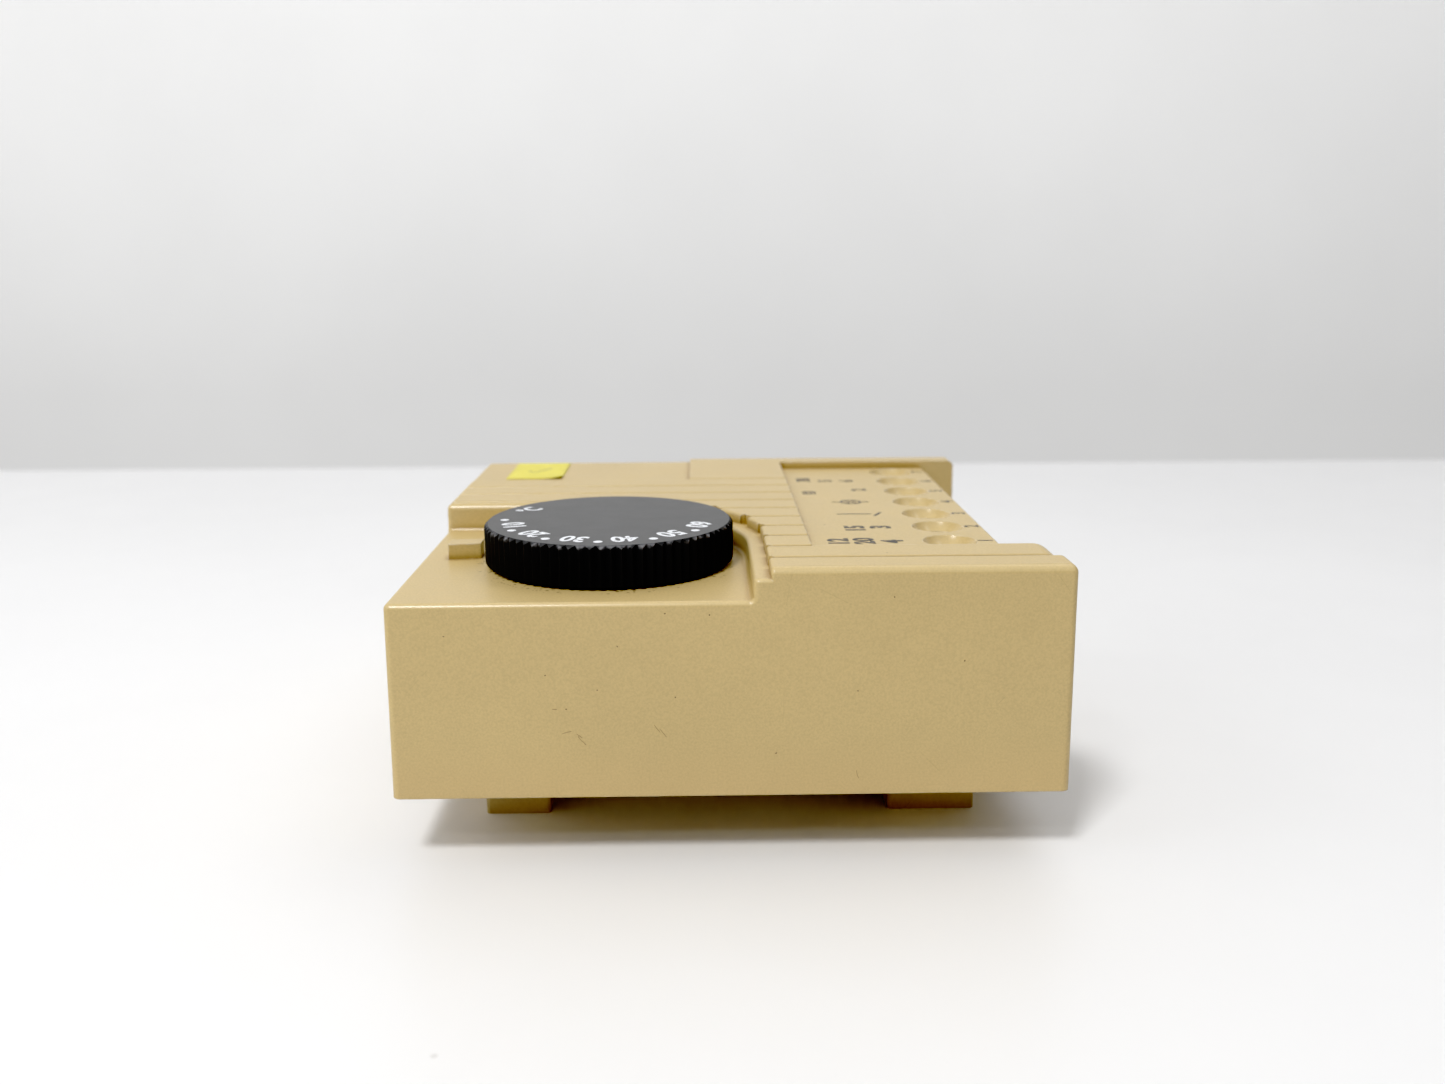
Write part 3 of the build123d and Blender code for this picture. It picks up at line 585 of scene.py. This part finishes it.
# ---------------------------------------------------------------- the materials
PLASTICS = {
    "housing_beige": dict(
        base=(0.560, 0.421, 0.189), rough=0.40, grain=4200.0, grain_height=1.2e-5,
        mottle=0.010, dirt_and_shade_amount=0.85, extra=cover_marks, spec=0.52, edge_radius=0.00022,
        edge_amount=0.5, hollow_shade=0.95, pitting=0.085, cloud=0.015, speck_share=0.010,
    ),
    "base_beige": dict(
        base=(0.60, 0.465, 0.245), rough=0.47, hollow_shade=0.4, mottle=0.06, dirt_and_shade_amount=0.7,
        speck_share=0.05, scratch=0.5,
    ),
    "latch_beige": dict(
        base=(0.575, 0.435, 0.205), rough=0.40, hollow_shade=0.5, dirt_and_shade_amount=0.6,
        edge_amount=0.4, scratch=0.6,
    ),
    "dial_black": dict(
        base=(0.0052, 0.0058, 0.0074), rough=0.36, grain=3300.0, grain_height=7e-6,
        mottle=0.06, cloud=0.01, dirt_and_shade_tint=(0.055, 0.05, 0.045), dirt_and_shade_amount=0.25,
        speck=(0.05, 0.05, 0.05), edge=(0.10, 0.10, 0.105), edge_amount=0.35,
        edge_radius=0.00012, scratch=0.4, spec=0.72, extra=dial_marks,
    ),
    "switch_black": dict(
        base=(0.022, 0.021, 0.020), rough=0.5, mottle=0.15, dirt_and_shade_tint=(0.10, 0.085, 0.06),
        edge=(0.12, 0.12, 0.12), speck=(0.12, 0.11, 0.09), dust=0.3,
    ),
    "cam_white": dict(
        base=(0.74, 0.73, 0.68), rough=0.35, mottle=0.04, dirt_and_shade_tint=(0.30, 0.27, 0.20),
        grain_height=4e-6, edge=(0.9, 0.9, 0.88), sss=0.15,
    ),
    "block_grey": dict(
        base=(0.255, 0.250, 0.235), rough=0.52, mottle=0.08, dirt_and_shade_tint=(0.06, 0.05, 0.035),
        edge=(0.5, 0.49, 0.46), speck_share=0.06, dust=0.3,
    ),
    "resistor_body": dict(
        base=(0.42, 0.30, 0.17), rough=0.38, mottle=0.10, dirt_and_shade_tint=(0.1, 0.07, 0.04),
        edge=(0.5, 0.4, 0.28),
    ),
}
# name: base colour, tarnish colour, roughness, other settings
METALS = {
    "zinc_steel": ((0.66, 0.665, 0.66), (0.46, 0.43, 0.36), 0.30, dict(tarnish_amount=0.5)),
    "pressed_steel": ((0.60, 0.61, 0.61), (0.44, 0.40, 0.33), 0.36, dict(lay=(14.0, 1.0, 1.0))),
    "spring_steel": ((0.42, 0.43, 0.45), (0.24, 0.22, 0.20), 0.26, dict(lay=(6.0, 6.0, 1.0))),
    "spindle_brass": ((0.80, 0.60, 0.29), (0.42, 0.27, 0.12), 0.27, dict(tarnish_amount=0.55)),
    "conductor_brass": ((0.78, 0.56, 0.27), (0.40, 0.24, 0.11), 0.33, dict(lay=(1.0, 12.0, 1.0))),
    "contact_bronze": ((0.72, 0.47, 0.27), (0.36, 0.21, 0.12), 0.28, dict(lay=(12.0, 1.0, 1.0))),
    "contact_silver": ((0.86, 0.85, 0.82), (0.35, 0.32, 0.28), 0.22, {}),
    "bimetal": ((0.64, 0.60, 0.54), (0.42, 0.33, 0.24), 0.30, dict(lay=(1.0, 12.0, 12.0))),
    "tinned_wire": ((0.74, 0.74, 0.73), (0.50, 0.48, 0.45), 0.30, {}),
}
MATERIALS = {name: plastic(name, **look) for name, look in PLASTICS.items()}
for name, (base, tarnish, rough, other) in METALS.items():
    MATERIALS[name] = metal(name, base, tarnish, rough, **other)
MATERIALS["sticker_yellow"] = paper("sticker_yellow", base=(0.74, 0.66, 0.085))
MATERIALS["ink_white"] = ink(
    "ink_white", base=(0.82, 0.84, 0.88), under=(0.05, 0.05, 0.052), wear=0.44
)
MATERIALS["ink_dark"] = ink(
    "ink_dark", base=(0.030, 0.027, 0.024), under=(0.26, 0.19, 0.09), wear=0.47, thin=0.15
)


def dress(obj, material):
    """Gives a CAD piece its material and clean shading."""
    mesh = obj.data
    mesh.materials.clear()
    mesh.materials.append(material)
    for polygon in mesh.polygons:
        polygon.use_smooth = True
        polygon.material_index = 0
    if "custom_normal" in mesh.attributes:
        mesh.attributes.remove(mesh.attributes["custom_normal"])
    weld = obj.modifiers.new("weld", "WELD")
    weld.merge_threshold = 1e-7
    crease = obj.modifiers.new("crease", "EDGE_SPLIT")
    crease.split_angle = math.radians(28)
    even = obj.modifiers.new("even", "WEIGHTED_NORMAL")
    even.mode = "FACE_AREA"
    even.weight = 60
    even.keep_sharp = True


slots_of = {part["node"]: part["material_slot"] for part in frame["record"]["subparts"]}
for name, obj in frame["nodes"].items():
    dress(obj, MATERIALS[slots_of[name]])


# ---------------------------------------------------------------- printed shapes
# Printed shapes are given in millimetres.
PRINT_THICK = 0.022
RING_THICK = 0.02
PRINT_SINK = 0.004  # how far each shape reaches into the surface below it


def glyphs(shape, text, place, z, height, angle, squeeze, bold):
    """Adds raised characters whose tops point along angle + 90 degrees."""
    curve = bpy.data.curves.new("glyph", "FONT")
    curve.body = text
    curve.size = 1.0
    curve.align_x, curve.align_y = "CENTER", "CENTER"
    curve.offset = bold
    curve.extrude = 0.5
    curve.resolution_u = 5
    curve.space_character = 1.02
    holder = bpy.data.objects.new("glyph", curve)
    scene.collection.objects.link(holder)
    bpy.context.view_layer.update()
    depsgraph = bpy.context.evaluated_depsgraph_get()
    mesh = bpy.data.meshes.new_from_object(holder.evaluated_get(depsgraph))
    xs = [vertex.co.x for vertex in mesh.vertices]
    ys = [vertex.co.y for vertex in mesh.vertices]
    size = height / (max(ys) - min(ys)) * MM
    centre = Vector(((max(xs) + min(xs)) / 2, (max(ys) + min(ys)) / 2, 0))
    mesh.transform(
        Matrix.Translation(Vector((*place, z + PRINT_THICK / 2 - PRINT_SINK)) * MM)
        @ Matrix.Rotation(math.radians(angle), 4, "Z")
        @ Matrix.Diagonal((size * squeeze, size, PRINT_THICK * MM, 1.0))
        @ Matrix.Translation(-centre)
    )
    shape.from_mesh(mesh)
    bpy.data.objects.remove(holder)
    bpy.data.meshes.remove(mesh)
    bpy.data.curves.remove(curve)


def add_loop(shape, outline, z):
    return [shape.verts.new((x * MM, y * MM, z * MM)) for x, y in outline]


def join_loops(shape, loops):
    count = len(loops[0])
    for lower, upper in zip(loops, loops[1:]):
        for i in range(count):
            after = (i + 1) % count
            shape.faces.new((lower[i], lower[after], upper[after], upper[i]))


def pad(shape, outline, z, dome=0.0):
    """Adds a thin raised shape with a rounded upper rim; the outline runs anticlockwise."""
    mid_x = sum(x for x, y in outline) / len(outline)
    mid_y = sum(y for x, y in outline) / len(outline)
    # size of each loop against the outline, and its level
    steps = (
        (1.0, -PRINT_SINK), (1.0, PRINT_THICK * 0.6), (0.93, PRINT_THICK),
        (0.5, PRINT_THICK + dome),
    )
    loops = []
    for size, level in steps:
        drawn_in = [(mid_x + (x - mid_x) * size, mid_y + (y - mid_y) * size) for x, y in outline]
        loops.append(add_loop(shape, drawn_in, z + level))
    join_loops(shape, loops)
    shape.faces.new(loops[-1])
    shape.faces.new(list(reversed(loops[0])))


def circle(x, y, radius, count=28):
    turns = [2 * math.pi * i / count for i in range(count)]
    return [(x + radius * math.cos(turn), y + radius * math.sin(turn)) for turn in turns]


def bar(x0, y0, x1, y1, width):
    """The outline of a line with round ends."""
    heading = math.degrees(math.atan2(y1 - y0, x1 - x0))
    outline = []
    for x, y, start in ((x1, y1, -90), (x0, y0, 90)):
        for i in range(7):
            turn = math.radians(heading + start + 30 * i)
            outline.append((x + width / 2 * math.cos(turn), y + width / 2 * math.sin(turn)))
    return outline


def ring(shape, x, y, radius, width, z):
    """Adds a thin raised ring."""
    outer, inner = radius + width / 2, radius - width / 2
    low, high = z - PRINT_SINK, z + RING_THICK
    corners = ((outer, low), (outer, high), (inner, high), (inner, low))
    loops = [add_loop(shape, circle(x, y, size, count=40), level) for size, level in corners]
    join_loops(shape, loops + loops[:1])


def grid(shape, columns, rows, place):
    """Adds a sheet of quads; place(u, v) gives each corner for u and v from 0 to 1."""
    verts = [
        [shape.verts.new(place(i / columns, j / rows)) for i in range(columns + 1)]
        for j in range(rows + 1)
    ]
    for near, far in zip(verts, verts[1:]):
        for i in range(columns):
            shape.faces.new((near[i], near[i + 1], far[i + 1], far[i]))


def add_object(shape, name, material):
    mesh = bpy.data.meshes.new(name)
    shape.to_mesh(mesh)
    shape.free()
    mesh.materials.append(material)
    obj = bpy.data.objects.new(name, mesh)
    scene.collection.objects.link(obj)
    return obj


def finish_piece(shape, name, material, body):
    bmesh.ops.remove_doubles(shape, verts=shape.verts, dist=1e-8)
    bmesh.ops.recalc_face_normals(shape, faces=shape.faces)
    obj = add_object(shape, name, MATERIALS[material])
    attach(obj, body)
    return obj


# ---------------------------------------------------------------- the dial's scale
def on_dial(radius, angle):
    turn = math.radians(angle)
    return (DIAL[0] / MM + radius * math.cos(turn), DIAL[1] / MM + radius * math.sin(turn))


def scale_angle(celsius):
    """35 degrees Celsius stands at -92 degrees; each further one turns 2.9 degrees."""
    return -92.0 + (celsius - 35.0) * 2.9


def dial_scale():
    """Numbers with their tops outwards, dots between them and the unit."""
    shape = bmesh.new()
    top = DIAL_TOP / MM
    for celsius in range(10, 61, 10):
        angle = scale_angle(celsius)
        glyphs(shape, str(celsius), on_dial(10.95, angle), top, height=2.65,
               angle=angle - 90, squeeze=0.84, bold=0.030)
    for celsius in range(5, 56, 10):
        dot = circle(*on_dial(11.95, scale_angle(celsius)), radius=0.50)
        pad(shape, dot, top, dome=0.004)
    unit_angle = 150.0
    glyphs(shape, "°C", on_dial(11.4, unit_angle), top, height=2.5,
           angle=unit_angle - 90, squeeze=0.80, bold=0.026)
    finish_piece(shape, "dial_scale", "ink_white", "dial")


dial_scale()

# ---------------------------------------------------------------- marks by the terminals
PANEL = 31.1  # level of the top panel
# text, x, y, height
PANEL_TEXTS = [
    ("12", 12.55, -19.1, 2.47), ("20", 15.5, -19.2, 2.47), ("4", 18.7, -19.6, 2.6),
    ("15", 15.3, -12.2, 2.47), ("3", 18.4, -11.8, 2.6),
    ("10", 11.8, 10.9, 1.95), ("2", 18.8, 12.7, 2.08),
    ("30", 11.8, 20.9, 2.08), ("5", 14.9, 20.0, 2.08), ("6", 17.9, 19.8, 2.08),
]
LAMP_X, LAMP_Y = 16.7, 4.05
LAMP_ARM = 0.82  # reach of the cross along x and along y


def panel_marks():
    """Numbers, a contact symbol, a lamp symbol and the numbers of the screws."""
    shape = bmesh.new()
    for text, x, y, height in PANEL_TEXTS:
        glyphs(shape, text, (x, y), PANEL, height, angle=90.0, squeeze=0.96, bold=0.036)
    pad(shape, bar(14.2, -3.8, 18.2, -3.8, width=0.34), PANEL)
    pad(shape, bar(18.7, -4.9, 19.6, -3.1, width=0.34), PANEL)
    ring(shape, LAMP_X, LAMP_Y, radius=1.25, width=0.30, z=PANEL)
    left, right = LAMP_X - LAMP_ARM, LAMP_X + LAMP_ARM
    front, back = LAMP_Y - LAMP_ARM, LAMP_Y + LAMP_ARM
    pad(shape, bar(left, front, right, back, width=0.26), PANEL)
    # the second stroke lies a hair above the first
    pad(shape, bar(left, back, right, front, width=0.26), PANEL + 0.001)
    for start, end in ((14.4, 15.4), (18.0, 19.0)):
        pad(shape, bar(start, LAMP_Y, end, LAMP_Y, width=0.26), PANEL)
    for number, (_, y) in enumerate(SCREWS, start=1):
        glyphs(shape, str(number), (29.35, y / MM), PANEL, height=1.75,
               angle=90.0, squeeze=0.9, bold=0.018)
    finish_piece(shape, "panel_marks", "ink_dark", "housing")


panel_marks()


# ---------------------------------------------------------------- the paper label
def label_point(u, v):
    """The label is faintly wavy and lifts at its right front corner (u = 1, v = 0)."""
    corner = max(0.0, 1.0 - math.hypot(1.0 - u, v * 1.7) / 0.42)
    wave = 0.5 + 0.5 * math.sin(9.0 * u + 5.0 * v) * math.sin(7.0 * v + 1.3)
    lift = 0.00034 * corner**2 + 0.000012 * wave
    return (
        LABEL_LOW.x + (LABEL_HIGH.x - LABEL_LOW.x) * u - 0.0001 * corner**2,
        LABEL_LOW.y + (LABEL_HIGH.y - LABEL_LOW.y) * v + 0.00012 * corner**2,
        LABEL_LOW.z + 0.00001 + lift,
    )


def label_sheet():
    shape = bmesh.new()
    grid(shape, columns=26, rows=44, place=label_point)
    for face in shape.faces:
        face.smooth = True
    label = finish_piece(shape, "label_sheet", "sticker_yellow", "housing")
    sheet = label.modifiers.new("sheet", "SOLIDIFY")
    sheet.thickness = 0.00009
    sheet.offset = 1.0
    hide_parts("test_sticker")


label_sheet()


# ---------------------------------------------------------------- stage
def table_material():
    """Smooth white, and clear when seen from below."""
    net = new_net("table_white")
    cloud = net.span(net.noise(scale=9.0, detail=4.0, rough=0.6), over=(0.35, 0.65))
    colour = net.mix(cloud, (0.81, 0.81, 0.82), (0.83, 0.83, 0.84))
    dots = net.specks(scale=160.0, share=0.02, size=0.05)
    colour = net.cover(colour, dots, amount=0.35, tint=(0.45, 0.43, 0.41))
    rough = net.span(net.noise(scale=60.0, detail=3.0), over=(0.3, 0.7), to=(0.34, 0.42))
    fine = net.noise(scale=1500.0, detail=3.0, rough=0.6)
    normal = net.bump(fine, distance=4e-6, strength=0.8)
    seen = net.shader(colour, rough, normal=normal, spec=0.42)
    clear = net.add("ShaderNodeBsdfTransparent").outputs[0]
    return net.done(net.blend(net.geometry["Backfacing"], seen, clear))


def wall_material():
    net = new_net("wall_grey")
    cloud = net.span(net.noise(scale=5.0, detail=4.0, rough=0.6), over=(0.3, 0.7))
    colour = net.mix(cloud, (0.80, 0.80, 0.80), (0.84, 0.84, 0.84))
    return net.done(net.shader(colour, rough=0.7, spec=0.2, glow=0.37))


def stage_sheet(name, place, material):
    shape = bmesh.new()
    grid(shape, columns=24, rows=24, place=place)
    add_object(shape, name, material)


# the floor lies in XY at z = 0; the wall stands in XZ behind it
stage_sheet("floor", lambda u, v: (-1.6 + 3.2 * u, -1.6 + 1.823 * v, 0.0), table_material())
stage_sheet("wall", lambda u, v: (-1.8 + 3.6 * u, 0.44, -0.5 + 1.7 * v), wall_material())


def studio_world():
    """Light from above, from behind (+Y) and from the left (-X); the camera sees pale grey."""
    scene.world = bpy.data.worlds.new("studio")
    net = Net(scene.world, output="ShaderNodeOutputWorld")
    x, y, z = net.split(net.add("ShaderNodeTexCoord").outputs["Generated"])
    above = net.span(z, over=(0.25, 0.9), to=(0.0, 0.46))
    behind = net.span(y, over=(-0.6, 0.7), to=(0.0, 0.14))
    left = net.span(x, over=(0.8, -0.8), to=(0.0, 0.08))
    strength = 0.03  # the even light under the rest
    for part in (above, behind, left):
        strength = net.math("ADD", part, strength)
    room = net.background(colour=(1.0, 0.995, 0.985), strength=strength)
    pale = net.background(colour=(0.70, 0.70, 0.70), strength=1.0)
    net.done(net.by_camera(pale, room))


studio_world()


def softbox(name, at, width, height, watts, towards=(0.0, 0.0, 0.02), colour=(1.0, 1.0, 1.0)):
    light = bpy.data.lights.new(name, "AREA")
    light.shape = "RECTANGLE"
    light.size, light.size_y = width, height
    light.energy = watts
    light.color = colour
    obj = bpy.data.objects.new(name, light)
    obj.location = at
    obj.rotation_mode = "QUATERNION"
    obj.rotation_quaternion = (Vector(towards) - Vector(at)).to_track_quat("-Z", "Y")
    scene.collection.objects.link(obj)


softbox("key", at=(-0.20, -0.42, 0.66), width=0.15, height=0.13, watts=3.9,
        colour=(1.0, 1.0, 0.99))
softbox("side", at=(-0.62, -0.10, 0.34), width=0.50, height=0.36, watts=1.0)
softbox("back", at=(0.15, 0.24, 0.62), width=0.9, height=0.14, watts=0.75,
        towards=(0.06, 0.16, 0.02))
softbox("glint", at=(-0.25, -0.52, 0.50), width=0.06, height=0.05, watts=0.38)


# ---------------------------------------------------------------- camera
CAMERA_PLACE = Vector((-3.276, -161.073, 63.385)) * MM
# degrees: below the horizon, from +Y towards +X, and about the line of sight
CAMERA_ANGLES = (12.807, 1.065, -0.269)


def add_camera():
    camera = bpy.data.cameras.new("camera")
    camera.sensor_fit = "HORIZONTAL"
    camera.sensor_width = 36.0
    camera.lens = 31.83
    camera.clip_start, camera.clip_end = 0.002, 20.0
    camera.dof.use_dof = True
    camera.dof.focus_distance = 0.134
    camera.dof.aperture_fstop = 25.0
    holder = bpy.data.objects.new("camera", camera)
    scene.collection.objects.link(holder)
    down, turn, roll = (math.radians(angle) for angle in CAMERA_ANGLES)
    level = math.cos(down)
    forward = Vector((math.sin(turn) * level, math.cos(turn) * level, -math.sin(down)))
    across = Vector((math.cos(turn), -math.sin(turn), 0.0))
    upward = across.cross(forward)
    right = across * math.cos(roll) + upward * math.sin(roll)
    top = upward * math.cos(roll) - across * math.sin(roll)
    rows = zip(right, top, -forward, CAMERA_PLACE)
    holder.matrix_world = Matrix((*rows, (0.0, 0.0, 0.0, 1.0)))
    scene.camera = holder


add_camera()

# The tone curve deepens the darkest shades: each point is (input, output).
TONE_POINTS = ((0.045, 0.002), (0.09, 0.050), (0.155, 0.138), (0.35, 0.345), (0.7, 0.7))
view = scene.view_settings
view.view_transform = "Standard"
view.look = "None"
view.exposure = -0.10
view.gamma = 1.0
view.use_curve_mapping = True
tone = view.curve_mapping
tone.extend = "EXTRAPOLATED"
curve = tone.curves[3]
for shade_in, shade_out in TONE_POINTS:
    curve.points.new(shade_in, shade_out)
for point in curve.points:
    point.handle_type = "AUTO_CLAMPED"
tone.update()
